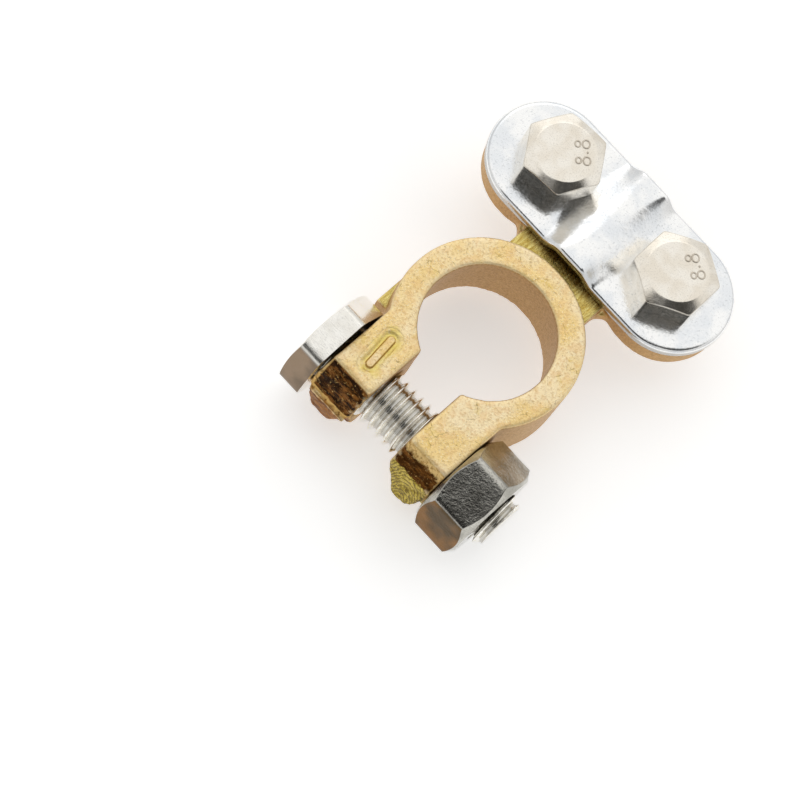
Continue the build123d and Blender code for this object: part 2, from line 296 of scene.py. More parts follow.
# %% [markdown]
# ### Zones of the casting
# The minus bar stands in a border where the polishing wheel couldn't reach, so its colour
# goes with the distance from the bar's outline. The gate, where metal ran into the mould, is
# sawn off: a saw leaves arcs, here circles flattened by a factor, bent and broken by noise.

# %% Round the bar, and the saw's arcs
def bar_distance(s):
    """Distance in mm from the bar's outline, in the plane of the ear's top."""
    dx = s.add(MINUS, s.x, BAR_CENTRE[0])
    dy = s.add(MINUS, s.y, BAR_CENTRE[1])
    along = s.weigh((dx, math.cos(BAR_TURN)), (dy, math.sin(BAR_TURN)))
    across = s.weigh((dx, -math.sin(BAR_TURN)), (dy, math.cos(BAR_TURN)))
    past = s.add(LARGER, s.add(MINUS, s.add(ABSOLUTE, along), BAR_HALF[0]), 0.0)
    reach = s.add(ROOT, s.weigh((s.both(past, past), 1.0), (s.both(across, across), 1.0)))
    return s.add(MINUS, reach, BAR_HALF[1])


SAW_CENTRE = (7.4, -0.4)             # in X and Z
SAW_FLATTEN = 0.36
SAW_WAVE, SAW_BEND = 20.0, 17.0      # radians for a millimetre, and for the whole noise


def saw_lines(s):
    """sin(SAW_WAVE * distance + SAW_BEND * noise), broken by the noise: 1 in the grooves."""
    dx = s.add(MINUS, s.x, SAW_CENTRE[0])
    dz = s.add(TIMES, s.add(MINUS, s.z, SAW_CENTRE[1]), SAW_FLATTEN)
    far = s.add(ROOT, s.weigh((s.both(dx, dx), 1.0), (s.both(dz, dz), 1.0)))
    wobble = s.speckle(1.1, detail=4, rough=0.65)
    wave = s.add(SINE, s.weigh((far, SAW_WAVE), (wobble, SAW_BEND)))
    return s.add(STEP, s.weigh((wave, 1.0), (wobble, 3.0)), 1.1, 2.5)


# %% [markdown]
# ### Tops and machined faces
# The tops are pale satin gold with pinkish and yellow clouds. The neck and the saddle were
# cut, so they are yellower, with the cutter's lines along Y: noise squeezed in X and drawn
# out in Y gives such lines without a picture. Painted shade darkens the neck where the ring
# shades it.

# %% Upper and machined brass
def upper_brass(s, fine, grain, spots):
    """Satin gold of the tops: pinkish and yellow clouds, grain, olive round the bar."""
    color = s.add(PAINT, s.add(STEP, s.speckle(0.16, detail=3), 0.38, 0.60), "FFEBC0", "FADC9A")
    color = s.add(PAINT, s.add(STEP, fine, 0.46, 0.68, 0.0, 0.55), color, "CBA468")
    color = s.add(PAINT, s.add(STEP, grain, 0.42, 0.30, 0.0, 0.8), color, "FFF6DC")
    warm = s.add(STEP, s.speckle(0.8, detail=3), 0.48, 0.62, 0.0, 0.35)
    color = s.add(PAINT, warm, color, "EFC587")
    color = s.add(PAINT, s.add(STEP, spots, 0.57, 0.70, 0.0, 0.4), color, "E8C862")
    away = bar_distance(s)
    halo = s.both(s.add(STEP, s.weigh((away, 1.0), (spots, 3.5)), 3.2, 1.7),
                  s.add(STEP, away, -0.22, -0.05),
                  s.add(STEP, s.z, RING_TOP - 0.5, RING_TOP - 0.3))
    return s.add(PAINT, s.both(halo, 0.65), color, "F0DE70")


def machined_brass(s):
    """The cut neck, gusset and saddle top: yellower, with cutter lines along Y; painted shade on
    the neck.
    """
    cutter = s.speckle(1.5, detail=3, rough=0.7, stretch=(2.2, 0.35, 1.0))
    color = s.add(PAINT, s.add(STEP, cutter, 0.35, 0.65), "EEDC8C", "BFA14E")
    near, full, still, far = SHADED_NECK
    # painted shade: a band of the neck turns dark brown where the ring shades it
    painted_shade = s.both(s.add(STEP, s.y, near, full), s.add(STEP, s.y, far, still),
                   s.add(STEP, cutter, 0.3, 0.6, 0.5, 0.9))
    return s.add(PAINT, painted_shade, color, "7D5D26")


# %% [markdown]
# ### Ear ends
# The ends keep the dark skin of the mould, rubbed to gold along their rims. The end by the
# bolt's head is split at the parting line, coppery below it. The end by the nut is gold at
# the top, dark under it, and olive where the gate was sawn off.

# %% Ear ends
def end_skin(s, patchy, fine):
    """The ear ends: dark skin with gold rims by the bolt head, the sawn gate by the nut."""
    streaks = s.speckle(1.2, detail=4, rough=0.7, stretch=(0.5, 1.5, 1.5))
    height = s.weigh((s.z, 1.0), (patchy, 1.2), (fine, 0.8))
    dark = s.add(PAINT, s.add(STEP, streaks, 0.42, 0.64), "27160A", "7E5226")
    dark = s.add(PAINT, s.add(STEP, fine, 0.58, 0.68, 0.0, 0.8), dark, "D2B070")
    under = s.add(PAINT, s.add(STEP, streaks, 0.35, 0.62), "B9803F", "6D421A")
    head_side = s.add(PAINT, s.add(STEP, s.z, PARTING + 0.15, PARTING - 0.15), dark, under)
    gold = s.add(PAINT, s.add(STEP, fine, 0.45, 0.66), "E2C283", "A98146")
    nut_side = s.add(PAINT, s.add(STEP, height, RING_TOP - 0.1, RING_TOP + 0.3),
                     s.add(PAINT, 0.35, dark, "5A350F"), gold)
    olive = s.add(PAINT, s.add(STEP, patchy, 0.4, 0.62), "CDB85A", "94802E")
    sawn = s.add(PAINT, saw_lines(s), olive, "75622A")
    nut_side = s.add(PAINT, s.add(STEP, height, GATE_TOP + 0.1, GATE_TOP - 0.1), nut_side, sawn)
    color = s.add(PAINT, s.add(STEP, s.x, -0.5, 0.5), head_side, nut_side)
    wide = s.add(ABSOLUTE, s.x)
    ledge = s.add(ABSOLUTE, s.add(MINUS, s.z, PARTING))
    rim = s.add(LARGER, s.add(STEP, wide, EAR_INNER + 0.1, EAR_INNER - 0.1),
                s.add(STEP, wide, EAR_OUTER - 0.1, EAR_OUTER + 0.15))
    rim = s.add(LARGER, rim, s.both(s.add(STEP, s.x, 0.5, -0.5), s.add(STEP, ledge, 0.22, 0.08)))
    rim = s.add(LARGER, rim, s.add(STEP, s.z, RING_TOP - 0.3, RING_TOP - 0.1))
    return s.add(PAINT, s.both(rim, s.add(STEP, patchy, 0.36, 0.5)), color, "D9B26C")


# %% [markdown]
# ### The whole casting
# The walls are duller and browner than the tops. Pits and a few hair cracks lie over all
# zones, and edges that stand proud are rubbed bright and carry a painted highlight. A low
# bump of the same noises breaks up the reflections, which is what makes cast metal look cast.

# %% Brass material
def brass_material():
    """Walls first, then the tops, the machined faces and the ear ends laid over them."""
    s = Metal("cast_brass", 0.4)
    up = s.add(STEP, s.nz, 0.35, 0.85)
    fine = s.speckle(SAND_GRAIN, detail=4, rough=0.7)
    grain = s.speckle(FINE_SPECK, detail=2, rough=0.6)
    spots = s.speckle(STAIN, detail=4, rough=0.7)
    patchy = s.speckle(BLOTCH, detail=4, rough=0.7)
    pits = s.add(STEP, patchy, 0.68, 0.72)
    hairs = s.both(s.add(STEP, s.cracks(0.42, wander=1.9), 0.022, 0.006),
                   s.add(STEP, spots, 0.53, 0.60))
    color = s.add(PAINT, s.add(STEP, fine, 0.35, 0.7), "C9A26B", "AF8A57")
    color = s.add(PAINT, up, color, upper_brass(s, fine, grain, spots))
    lowest, highest = LOW_TOPS
    low_top = s.both(up, s.add(STEP, s.z, highest + 0.2, highest - 0.2),
                     s.add(STEP, s.z, lowest - 0.2, lowest + 0.2))
    color = s.add(PAINT, low_top, color, machined_brass(s))
    end = s.both(s.add(STEP, s.y, EAR_END + 0.1, EAR_END - 0.1), s.add(STEP, s.ny, -0.12, -0.4))
    color = s.add(PAINT, end, color, end_skin(s, patchy, fine))
    color = s.add(PAINT, s.both(pits, 0.75), color, "73502A")
    color = s.add(PAINT, s.both(hairs, up, 0.5), color, "8A6534")
    # rubbed wear and painted highlight: convex edges that face up are lightened to F8E2B2
    # Upright walls are left out: on their flat parts the pointiness is only the mesh's noise.
    rubbed_and_highlit = s.add(STEP, s.add(GEOMETRY)["Pointiness"], 0.52, 0.555)
    color = s.add(PAINT, s.both(rubbed_and_highlit, s.add(STEP, s.nz, 0.1, 0.3), 0.6), color, "F8E2B2")
    height = s.weigh((fine, 1.9), (grain, 0.9), (s.both(end, patchy), 4.0))
    roughness = s.weigh((s.add(STEP, fine, 0.2, 0.8, 0.30, 0.44), 1.0), (low_top, -0.08),
                        (s.add(STEP, up, 1.0, 0.0), 0.08))
    return s.finish(color, roughness, height, 0.6, 0.06)


brass = brass_material()

# %% [markdown]
# ## Zinc plated steel
# The plate is pressed steel sheet with bright zinc on it: bluish white, softly clouded and
# grained by the bath, and darker where it faces sideways or down. Zinc is close to a mirror,
# so it shows the room more than a colour of its own, and the bump's slow waves bend what it
# shows.

# %% Plate finish
def plate_material():
    """Nearly white zinc with slow clouds, fine grey specks and a darker edge."""
    s = Metal("zinc_plate", 0.2)
    cloud = s.speckle(0.26, detail=4, rough=0.6)
    speck = s.speckle(3.4, detail=3, rough=0.7)
    color = s.add(PAINT, s.add(STEP, cloud, 0.38, 0.62), "EAEDF0", "FBFBFA")
    color = s.add(PAINT, s.add(STEP, speck, 0.54, 0.72, 0.0, 0.45), color, "B4BABF")
    # darker where the surface faces sideways or down
    color = s.add(PAINT, s.both(s.add(STEP, s.nz, 0.55, 0.1), 0.6), color, "8B8578")
    height = s.weigh((cloud, 1.6), (speck, 0.14))
    return s.finish(color, s.add(STEP, speck, 0.3, 0.7, 0.13, 0.21), height, 0.35, 0.12)


zinc = plate_material()

# %% [markdown]
# ### Bolts and nut
# These are plated in a drum, so they are a warmer grey and knocked about. One recipe with
# different strengths serves all: pale heads, a pinch bolt whose streaks run along its axis,
# a grittier nut, and the raised marks a little darker than the crown they stand on: painted
# shade that stands in for the shade round their relief. The pinch head and the nut get a
# painted brown reflection on their faces towards -Y.

# %% Bolt finishes
def bolt_material(name, light, dark, rough, mottle, stretch=(1, 1, 1), painted_reflection=None, grit=0.16):
    """Mottle is how strongly the blotches tilt the surface, grit how dark the fine spots are;
    the last two colours, if given, paint a brown reflection on the -Y side."""
    s = Metal(name, 0.3)
    blotch = s.speckle(1.9, detail=4, rough=0.7, stretch=stretch)
    fine = s.speckle(5.0, detail=2, rough=0.6, stretch=stretch)
    color = s.add(PAINT, s.add(STEP, s.speckle(0.45, detail=2), 0.3, 0.7), light, dark)
    color = s.add(PAINT, s.add(STEP, fine, 0.50, 0.68, 0.0, grit), color, "77716A")
    # painted reflection: faces turned towards -Y get a brown reflection painted on
    if painted_reflection:
        warm = s.add(PAINT, s.add(STEP, s.speckle(0.22, detail=3), 0.36, 0.62), *painted_reflection)
        color = s.add(PAINT, s.add(STEP, s.ny, -0.62, -0.86, 0.0, 0.92), color, warm)
    height = s.weigh((blotch, mottle), (fine, 0.15))
    return s.finish(color, s.add(STEP, blotch, 0.3, 0.7, *rough), height, 0.3, 0.06)


head_steel = bolt_material("zinc_head", "F3EEE4", "E8E0D2", rough=(0.12, 0.2), mottle=0.3)
pinch_steel = bolt_material("zinc_pinch", "FAF8F2", "F0EDE5", rough=(0.13, 0.22), mottle=0.5,
                            stretch=(0.4, 2.0, 2.0), painted_reflection=("80684E", "64503A"))
nut_steel = bolt_material("zinc_nut", "C6C4BC", "A5A39B", rough=(0.06, 0.11), mottle=1.7,
                          stretch=(1.2, 1.2, 1.2), painted_reflection=("7E5314", "4A3616"), grit=0.6)
# painted shade: the marks are a darker grey than the crown, standing in for the shade round their
# relief
shaded_mark_steel = bolt_material("zinc_mark", "D8CFC1", "C6BCAD", rough=(0.16, 0.24), mottle=0.3)

# %% [markdown]
# ### Pinch thread
# The roots of the thread are darkened with painted shade, so the crests are bright and the
# roots dull. The colour follows the distance from the bolt's axis, which is the same all
# along it, so the pattern fits the thread at every turn.

# %% Thread finish
ROOT_DARK, ROOT_LIGHT = 3.2, 3.62    # distances from the axis, before the blotches shift them
CORE = (2.6, 3.0)                    # nothing is darkened nearer the axis than this


def thread_material():
    """Bright crests over roots darkened by painted shade; the colour follows the distance from the
    pinch axis.
    """
    s = Metal("zinc_thread", 0.15)
    dy = s.add(MINUS, s.y, PINCH_Y)
    dz = s.add(MINUS, s.z, PINCH_Z)
    far = s.add(ROOT, s.weigh((s.both(dy, dy), 1.0), (s.both(dz, dz), 1.0)))
    blotch = s.speckle(1.9, detail=3, rough=0.7)
    color = s.add(PAINT, s.add(STEP, blotch, 0.35, 0.65), "FAF8F2", "E2DED4")
    # painted shade: the roots darken to 7C7870, the crests keep the zinc's colour
    root = s.add(STEP, s.weigh((far, 1.0), (blotch, 0.4)), ROOT_LIGHT, ROOT_DARK)
    color = s.add(PAINT, s.both(root, s.add(STEP, far, *CORE), 0.6), color, "7C7870")
    return s.finish(color, s.add(STEP, blotch, 0.3, 0.7, 0.12, 0.2), blotch, 0.2, 0.05)


thread_steel = thread_material()

# %% [markdown]
# ## Brass casting
# Casting and tumbling leave rounded edges and a slightly uneven skin. Bevels on the
# solid would fail where its fillets meet, so a copy of it is remeshed in fine voxels and
# relaxed, which rounds every edge alike. The skin is then moved a few hundredths of a
# millimetre by sums of sines, more on the rough ear ends, and the bar's place is sunk a
# little for the bar's own piece.

# %% An uneven skin
def waves(p, length, count, seed):
    """A smooth random field: the mean of sines of about this wavelength in mm."""
    random = np.random.default_rng(seed)
    total = np.zeros(len(p))
    for _ in range(count):
        way = random.normal(size=3)
        way *= 2 * math.pi / (length * random.uniform(0.7, 1.4) * np.linalg.norm(way))
        total += np.sin(p @ way + random.uniform(0, 6.28))
    return total / math.sqrt(count)


def outline_distance(p):
    """Distance in mm from the minus bar's outline, seen from above."""
    c, s = math.cos(BAR_TURN), math.sin(BAR_TURN)
    dx, dy = p[:, 0] - BAR_CENTRE[0], p[:, 1] - BAR_CENTRE[1]
    along, across = c * dx + s * dy, c * dy - s * dx
    past = np.maximum(np.abs(along) - BAR_HALF[0], 0)
    return np.hypot(past, across) - BAR_HALF[1]


# %% The casting's points moved
BED_REACH, BED_DEPTH = 1.25, 0.4     # of the bar's bed, out from the bar and down


def weathered(p, normal):
    """p + normal * (sum of height in mm * waves of a length in mm), calmed near the bar,
    with the bar's bed sunk."""
    d = outline_distance(p)
    top = p[:, 2] > RING_TOP - 0.45
    calm = np.where(top, smooth(d, 1.1, 2.2), 1.0)
    rough_end = smooth(p[:, 1], EAR_END + 0.15, EAR_END - 0.55)
    move = 0.010 * waves(p, 5.0, 14, 1) + 0.006 * waves(p, 1.8, 14, 2)
    move += rough_end * (0.05 * waves(p, 1.6, 16, 3) + 0.03 * waves(p, 0.8, 16, 4))
    out = p + normal * (move * calm)[:, None]
    under = top & (d < BED_REACH)
    bed = RING_TOP - BED_DEPTH * smooth(d, 0.95, 0.7)
    out[under, 2] = bed[under]
    return out


# %% The casting
VOXEL = 0.25


def casting():
    """The solid's copy, remeshed and relaxed by modifiers and then moved as a whole array."""
    copy = bpy.data.objects.new("casting_work", nodes["terminal_body"].data.copy())
    bpy.context.scene.collection.objects.link(copy)
    remesh = copy.modifiers.new("skin", "REMESH")
    remesh.mode = "VOXEL"
    remesh.voxel_size = VOXEL * MM
    relax = copy.modifiers.new("relax", "SMOOTH")
    relax.factor = 0.5
    relax.iterations = 2
    graph = bpy.context.evaluated_depsgraph_get()
    mesh = bpy.data.meshes.new_from_object(copy.evaluated_get(graph))
    bpy.data.objects.remove(copy)
    mesh.materials.clear()
    mesh.name = "casting"
    p = np.empty(len(mesh.vertices) * 3)
    normal = np.empty_like(p)
    mesh.vertices.foreach_get("co", p)
    mesh.vertices.foreach_get("normal", normal)
    moved = weathered(p.reshape(-1, 3) / MM, normal.reshape(-1, 3)) * MM
    mesh.vertices.foreach_set("co", moved.ravel())
    mesh.update()
    return mesh


link("casting", casting(), brass, "terminal", "brass_casting", "terminal_body")

# %% [markdown]
# ## Minus bar
# The raised bar names the pole, and a sunk border sets it off. Voxels are too coarse for
# its edges, so it is a piece of its own: rings that follow the bar's outline at a growing
# distance, with the height a function of that distance.

# %% Rings round the bar
def obround_ring(d, angle, straight):
    """The outline at distance d outside the bar's, with straight samples on each side."""
    half, r = BAR_HALF[0], BAR_HALF[1] + d
    u = np.concatenate([np.full(len(angle), half), -straight * half,
                        np.full(len(angle), -half), straight * half])
    a = np.concatenate([angle, np.full(len(straight), math.pi / 2), angle + math.pi,
                        np.full(len(straight), -math.pi / 2)])
    u, v = u + r * np.cos(a), r * np.sin(a)
    c, s = math.cos(BAR_TURN), math.sin(BAR_TURN)
    return BAR_CENTRE[0] + c * u - s * v, BAR_CENTRE[1] + s * u + c * v


# %% Minus bar
BAR_LIFT, DITCH = 0.22, 0.16         # the bar over the ear's top, and the border under it
BAR_SKIN = 0.008                     # the whole piece lies this much over the ear's top


def minus_bar():
    """Height over d: a plateau of BAR_LIFT inside, then a ditch that fades to the flat top."""
    angle = np.linspace(-math.pi / 2, math.pi / 2, 40, endpoint=False)
    straight = np.linspace(-1, 1, 40, endpoint=False)
    rows = []
    for d in np.concatenate([[-BAR_HALF[1]], np.linspace(-0.4, 0.75, 60), [0.9, 1.05]]):
        x, y = obround_ring(d, angle, straight)
        uneven = 0.1 * np.sin(2.1 * x + 1.3 * y)
        z = RING_TOP + BAR_SKIN + BAR_LIFT * smooth(d, 0.02, -0.16)
        z = z - DITCH * smooth(d, -0.05, 0.1) * smooth(d, 0.78 + uneven, 0.25)
        rows.append(np.stack([x, y, np.broadcast_to(z, x.shape)], axis=-1))
    return np.array(rows)


link("minus_bar", grid_mesh("minus_bar", minus_bar()), brass, "terminal", "brass_casting")

# %% [markdown]
# ## Hexagons
# A forged head is a hexagon with a turned chamfer on top. Six flat faces with bevels would
# leave the chamfer's curved border to chance, so the head is one surface turned round its
# axis: the radius is a rounded hexagon's, and the chamfer drops with the radius, which
# draws the true arcs on the flats by itself.

# %% The hexagon's outline
def hexagon_radius(angle, flats, power):
    """Distance to a rounded hexagon's edge: (sum of (cos(a - a_i) / (flats/2))^p)^(-1/p)."""
    total = np.zeros_like(angle)
    for k in range(6):
        side = np.clip(np.cos(angle - math.radians(60 * k + 30)), 0, None)
        total += (side / (flats / 2)) ** power
    return total ** (-1 / power)


def hex_angles(per_side=40):
    """Angles round a hexagon, closer together at the corners (at 0, 60, ... degrees)."""
    t = np.linspace(-1, 1, per_side, endpoint=False)
    side = np.sign(t) * np.abs(t) ** 0.6
    return np.concatenate([np.radians(60 * k + 30 + 30 * side) for k in range(6)])


corner = float(hexagon_radius(np.zeros(1), PINCH_FLATS, 40)[0])
print("the pinch nut's corner lies", round(corner, 2), "mm from its axis")


# %% The head's profile
def chamfer_drop(radius, start, slope, soft=0.07):
    """How far a turned chamfer lies under the crown: a soft ramp from the start radius."""
    d = radius - start
    return slope * 0.5 * (d + np.sqrt(d * d + soft * soft))


def hex_profile(angle, flats, height, crown_r, slope, power=40, edge=0.06):
    """Rows (radius, height) of a head, from the crown's middle over the chamfer and down."""
    limit = hexagon_radius(angle, flats, power)
    rows = []
    for s in np.concatenate([np.linspace(0, 0.66, 8), np.linspace(0.68, 0.985, 34)]):
        r = limit * s
        rows.append((r, height - chamfer_drop(r, crown_r, slope)))
    top = height - chamfer_drop(limit, crown_r, slope)
    for t in np.linspace(0, 90, 5):
        a = math.radians(t)
        rows.append((limit - edge * (1 - math.sin(a)), top - edge * (1 - math.cos(a))))
    # The rows close to both ends of the flat keep its smooth shading flat.
    for t in (0.03, 0.35, 0.65, 0.97, 1.0):
        rows.append((limit, (top - edge) * (1 - t)))
    return rows


# %% [markdown]
# ## Threads
# A thread is the same kind of surface: its radius is the standard profile, wound round the
# axis by taking the pitch off for each turn of the angle. A screw modifier could wind a
# profile too, but it leaves the ends open and the chamfered tip to be cut by hand.

# %% The thread's radius
THREAD_DEPTH = 0.6134                # of the pitch
CREST_HALF, ROOT_HALF = 1 / 16, 1 / 8


def thread_radius(along, angle, crest_r, pitch, start):
    """Radius of a right-hand thread: flats of p/8 and p/4 joined by nearly straight flanks."""
    phase = np.mod((along - start) / pitch - angle / (2 * math.pi) + 0.5, 1.0) - 0.5
    ramp = np.clip((np.abs(phase) - CREST_HALF) / (0.5 - CREST_HALF - ROOT_HALF), 0, 1)
    flank = 0.75 * ramp + 0.25 * ramp * ramp * (3 - 2 * ramp)
    return crest_r - THREAD_DEPTH * pitch * flank


def turned(rows, angle):
    """Rows of (radius, height) round the Z axis, as points."""
    out = [np.stack([r * np.cos(angle), r * np.sin(angle), np.broadcast_to(z, angle.shape)],
                    axis=-1) for r, z in rows]
    return np.array(out)


# %% [markdown]
# ## Plate bolts
# Two M6 screws hold the plate down. Their threads show when the plate is lifted, so head,
# collar, thread and chamfered tip are one closed surface, from the crown's middle down to
# the tip's, and the head's own rows simply go on into the shank's.

# %% Plate bolts' shank
M6_CREST, M6_PITCH, M6_LENGTH = 2.98, 1.0, 10.0
M6_COLLAR, M6_TIP = 0.9, 0.8         # lengths without a full thread at both ends
M6_TIP_DROP = 0.45


def plate_shank(angle):
    """Rows of the M6 thread under the head, with its collar and its chamfered tip."""
    rows = []
    root = THREAD_DEPTH * M6_PITCH
    for a in np.linspace(0, M6_LENGTH, 141):
        r = thread_radius(a, -angle, M6_CREST, M6_PITCH, 0.0)
        r = np.minimum(r, M6_CREST - M6_TIP_DROP * np.clip((a - M6_LENGTH + M6_TIP) / M6_TIP, 0, 1))
        r = np.maximum(r, M6_CREST - root * (1 - np.clip(1 - a / M6_COLLAR, 0, 1)))
        rows.append((r, -a))
    return rows + [(np.zeros_like(angle), -M6_LENGTH)]


# %% Plate bolts
M6_FLATS = 10.0
M6_CROWN, M6_SLOPE = 4.0, 0.36       # where the chamfer starts, and its fall for a mm
M6_SEAT_INNER = 3.2                  # the head's seat ends here at the collar


def plate_bolt(x, turn):
    """The bolt at the place x, turned by so many degrees."""
    angle = hex_angles()
    rows = hex_profile(angle, M6_FLATS, PLATE_BOLT_HEAD, M6_CROWN, M6_SLOPE)
    rows.append((np.full_like(angle, M6_SEAT_INNER), 0.0))
    p = turned(rows + plate_shank(angle), angle)
    c, s = math.cos(math.radians(turn)), math.sin(math.radians(turn))
    out = p.copy()
    out[..., 0] = c * p[..., 0] - s * p[..., 1] + x
    out[..., 1] = s * p[..., 0] + c * p[..., 1] + BOLT_Y
    out[..., 2] = p[..., 2] + SADDLE_TOP + PLATE_SIZE[2]
    return out


for name, x, turn in (("a", -BOLT_X, 5.7), ("b", BOLT_X, 31.4)):
    mesh = grid_mesh("plate_screw_" + name, plate_bolt(x, turn))
    link("plate_screw_" + name, mesh, head_steel, "bolt_" + name, "zinc_bolt",
         "plate_bolt_" + name)

# %% [markdown]
# ### Strength marks
# Every bolt of strength class 8.8 carries that class on its crown, stamped so that it stands
# raised. Text made into a mesh would do, but the stamp's figures are softer than any font:
# each is two oval rings, and the point is a small dome.

# %% Rings and a dome
def raised_ring(centre, radius, turn, stroke=0.11, lift=0.085):
    """A ring on the crown: torus (R + t cos v, t sin v), a little wider across the figure."""
    u, v = np.meshgrid(np.linspace(0, 2 * math.pi, 40, endpoint=False),
                       np.linspace(0, 2 * math.pi, 13), indexing="ij")
    r = radius + stroke * np.cos(v)
    px, py = r * np.cos(u), 1.14 * r * np.sin(u)
    c, s = math.cos(turn), math.sin(turn)
    grid = np.stack([centre[0] + c * px - s * py, centre[1] + s * px + c * py,
                     CROWN_TOP + lift * np.sin(v)], axis=-1)
    return grid.transpose(1, 0, 2)


def raised_dot(centre, radius=0.15, lift=0.08):
    """A dome (r cos t, h sin t) on the crown, closed below it."""
    t, u = np.meshgrid(np.linspace(-math.pi / 2, math.pi / 2, 9),
                       np.linspace(0, 2 * math.pi, 16, endpoint=False), indexing="ij")
    return np.stack([centre[0] + radius * np.cos(t) * np.cos(u),
                     centre[1] + radius * np.cos(t) * np.sin(u),
                     CROWN_TOP + lift * np.sin(t)], axis=-1)


# %% The marks on both bolts
SMALL_RING, LARGE_RING = 0.35, 0.47  # radii of a figure's two rings
DOT_SHIFT = 0.1
MARKS = {                            # the rings' centres, small and large, for each figure
    "a": (((-10.09, 24.59), (-9.35, 25.40)), ((-8.45, 23.10), (-7.68, 23.88))),
    "b": (((9.81, 24.85), (10.42, 25.62)), ((11.90, 23.80), (12.45, 24.63))),
}
for name, figures in MARKS.items():
    grids = []
    for small, large in figures:
        turn = math.atan2(large[1] - small[1], large[0] - small[0])
        grids += [raised_ring(small, SMALL_RING, turn), raised_ring(large, LARGE_RING, turn)]
    (_, first), (_, second) = figures
    point = [(a + b) / 2 + DOT_SHIFT for a, b in zip(first, second)]
    grids.append(raised_dot(point))
    link("marks_" + name, grid_mesh("marks_" + name, *grids), shaded_mark_steel, "bolt_" + name,
         "zinc_bolt")

# %% [markdown]
# ## Pinch bolt
# The M8 bolt pulls the two ears together. It is made along Z like the others and then laid
# along X by a matrix on the points, because a turned object would turn its pattern too. The
# head and the thread are two pieces, as the thread has a finish of its own.

# %% Lying along X
def on_pinch_axis(p, x, tilt):
    """Turns points made along Z so that Z becomes +X and a flat faces up and -Y."""
    t = math.radians(tilt)
    u = np.array([0, -math.cos(t), math.sin(t)])
    w = np.array([1.0, 0, 0])
    v = np.cross(w, u)
    c, s = math.cos(math.radians(30)), math.sin(math.radians(30))
    a = c * p[..., 0] - s * p[..., 1]
    b = s * p[..., 0] + c * p[..., 1]
    out = a[..., None] * u + b[..., None] * v + p[..., 2][..., None] * w
    return out + np.array([x, PINCH_Y, PINCH_Z])


# %% Pinch bolt's head
M8_HEAD, M8_CROWN, M8_SLOPE = 3.5, 6.45, 0.3
HEAD_TILT, NUT_TILT = 76.3, 70.1     # how far a flat leans back from facing -Y, in degrees


def pinch_head():
    """The head, made along +Z and turned over, closed at its seat."""
    angle = hex_angles()
    rows = hex_profile(angle, PINCH_FLATS, M8_HEAD, M8_CROWN, M8_SLOPE, power=20)
    head = turned(rows, angle)
    head[..., 1:] *= -1
    head = on_pinch_axis(head, -HEAD_SEAT, HEAD_TILT)
    middle = np.broadcast_to([-HEAD_SEAT, PINCH_Y, PINCH_Z], head[-1:].shape)
    return np.concatenate([head, middle])


link("pinch_head", grid_mesh("pinch_head", pinch_head()), pinch_steel, "clamp_bolt",
     "zinc_bolt", "pinch_bolt")

# %% Pinch bolt's thread
PAST_NUT = 1.6
THREAD_START, THREAD_TURN = -1.93, 20.2    # a crest's place in X, at this angle in degrees
THREAD_CORE = 3.13
TIP_DROP, TIP_LENGTH = 0.62, 0.9
COLLAR_RISE, COLLAR_LENGTH = 0.77, 1.2
FOOT = 0.5                           # how deep the shank ends in the head


def pinch_shank():
    """Thread in frame coordinates: x along the bolt, angle right-handed about +X."""
    end = NUT_SEAT + NUT_HEIGHT + PAST_NUT
    along = np.linspace(-HEAD_SEAT, end, 380)
    angle = np.linspace(0, 2 * math.pi, 120, endpoint=False)
    a, th = np.meshgrid(along, angle, indexing="ij")
    r = thread_radius(a, th, PINCH_CREST, PINCH_PITCH,
                      THREAD_START - PINCH_PITCH * THREAD_TURN / 360)
    r = np.minimum(r, PINCH_CREST - TIP_DROP * np.clip((a - end + TIP_LENGTH) / TIP_LENGTH, 0, 1))
    collar = np.clip(1 - (a + HEAD_SEAT) / COLLAR_LENGTH, 0, 1)
    r = np.maximum(r, THREAD_CORE + COLLAR_RISE * collar)
    points = np.stack([a, PINCH_Y + r * np.cos(th), PINCH_Z + r * np.sin(th)], axis=-1)
    tip = np.broadcast_to([end, PINCH_Y, PINCH_Z], points[:1].shape)
    foot = np.broadcast_to([-HEAD_SEAT - FOOT, PINCH_Y, PINCH_Z], points[:1].shape)
    return np.concatenate([foot, points, tip])


link("pinch_thread", grid_mesh("pinch_thread", pinch_shank()), thread_steel, "clamp_bolt",
     "zinc_bolt")

# %% [markdown]
# ## Pinch nut
# A nut is chamfered on both faces, and the bolt fills its bore. So it is one hexagonal
# surface that runs from the bore out over one face, down the flats and back over the other.
# The thread inside isn't seen, and the bore is a plain wall just outside the bolt's crests.

# %% Pinch nut
NUT_BORE, NUT_CROWN, NUT_SLOPE = 4.0, 6.15, 0.78


def pinch_nut():
    """Rows (radius, height) out over a chamfered face, along the flats and back."""
    angle = hex_angles()
    limit = hexagon_radius(angle, PINCH_FLATS, 40)
    bore = np.full_like(angle, NUT_BORE)
    middle = NUT_HEIGHT / 2

    def face(sign):
        """One end face, from the bore out over the chamfer."""
        rows = []
        for s in np.concatenate([np.linspace(0, 0.6, 6), np.linspace(0.63, 1.0, 26)]):
            r = bore + (limit - bore) * s
            z = middle - chamfer_drop(r, NUT_CROWN, NUT_SLOPE)
            rows.append((r, middle + sign * z))
        return rows

    upper, lower = face(1), face(-1)
    side = [(limit, upper[-1][1] * (1 - t) + lower[-1][1] * t) for t in (0.02, 0.3, 0.7, 0.98)]
    rows = [(bore, middle)] + upper + side + lower[::-1] + [(bore, middle)]
    return on_pinch_axis(turned(rows, angle), NUT_SEAT, NUT_TILT)


link("pinch_nut_hex", grid_mesh("pinch_nut_hex", pinch_nut()), nut_steel, "clamp_nut",
     "zinc_bolt", "pinch_nut")

